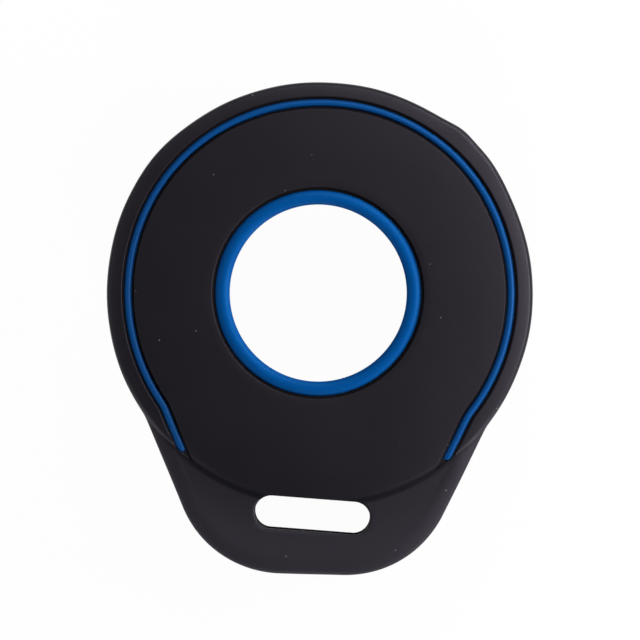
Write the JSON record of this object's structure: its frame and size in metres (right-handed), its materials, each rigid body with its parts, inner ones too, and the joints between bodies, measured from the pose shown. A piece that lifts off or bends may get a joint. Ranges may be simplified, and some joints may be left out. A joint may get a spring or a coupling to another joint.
{
  "type": "key fob cover",
  "caption": "Round soft rubber cover for a key fob, with a blue ring round its window, a blue line along its rim and a tab with a key ring slot.",
  "frame": {"origin": "the middle of the round mouth, level with the back face, on the disc's axis", "axes": "+Z along the disc's axis, out of the front face; -Y from the disc's centre towards the tab; +X to the right when the front is seen with the tab down"},
  "size_m": [0.05, 0.0579, 0.013],
  "materials": {
    "black_rubber": "matt silicone rubber, black with a faint purple tint",
    "blue_rubber": "matt silicone rubber, blue"
  },
  "bodies": {
    "root": {"cover_body": "black_rubber", "window_ring": "blue_rubber", "accent_line": "blue_rubber"}
  },
  "joints": []
}
